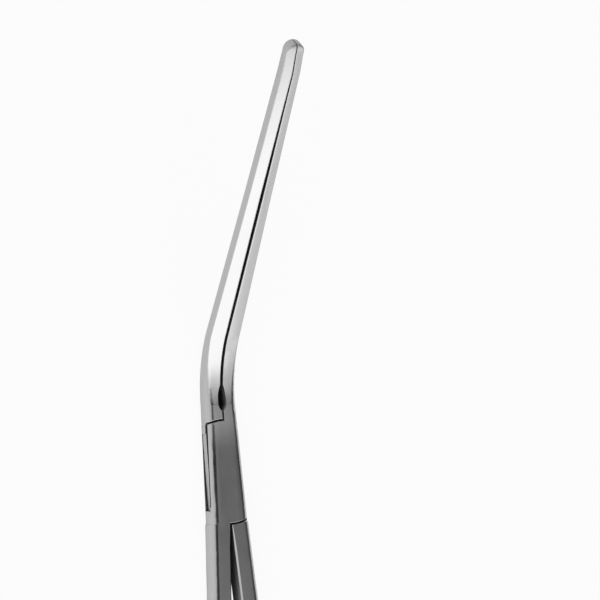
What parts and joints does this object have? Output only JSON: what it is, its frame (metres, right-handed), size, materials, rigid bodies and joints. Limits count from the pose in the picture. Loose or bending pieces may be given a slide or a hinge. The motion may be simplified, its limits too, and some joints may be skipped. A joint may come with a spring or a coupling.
{
  "type": "bulldog clamp",
  "caption": "Ring-handled surgical bulldog clamp with a flat box lock and slim blunt jaws angled up out of the plane of the handles.",
  "frame": {"origin": "on the pivot axis, at the flat underside of the box lock that the clamp lies on", "axes": "+Z along the pivot axis, up from the rest face; +Y along the clamp towards the jaw tips; +X towards the right jaw"},
  "size_m": [0.0526, 0.1318, 0.0277],
  "materials": {
    "stainless_steel": "satin polish"
  },
  "bodies": {
    "female_half": {"female_half": "stainless_steel", "pivot_pin": "stainless_steel"},
    "male_half": {"male_half": "stainless_steel"}
  },
  "joints": [
    {"name": "box_lock_hinge", "type": "hinge", "parent": "female_half", "child": "male_half", "pos_m": [0, 0, 0.0012], "axis": [0, 0, 1], "range_deg": [0, 30]}
  ]
}
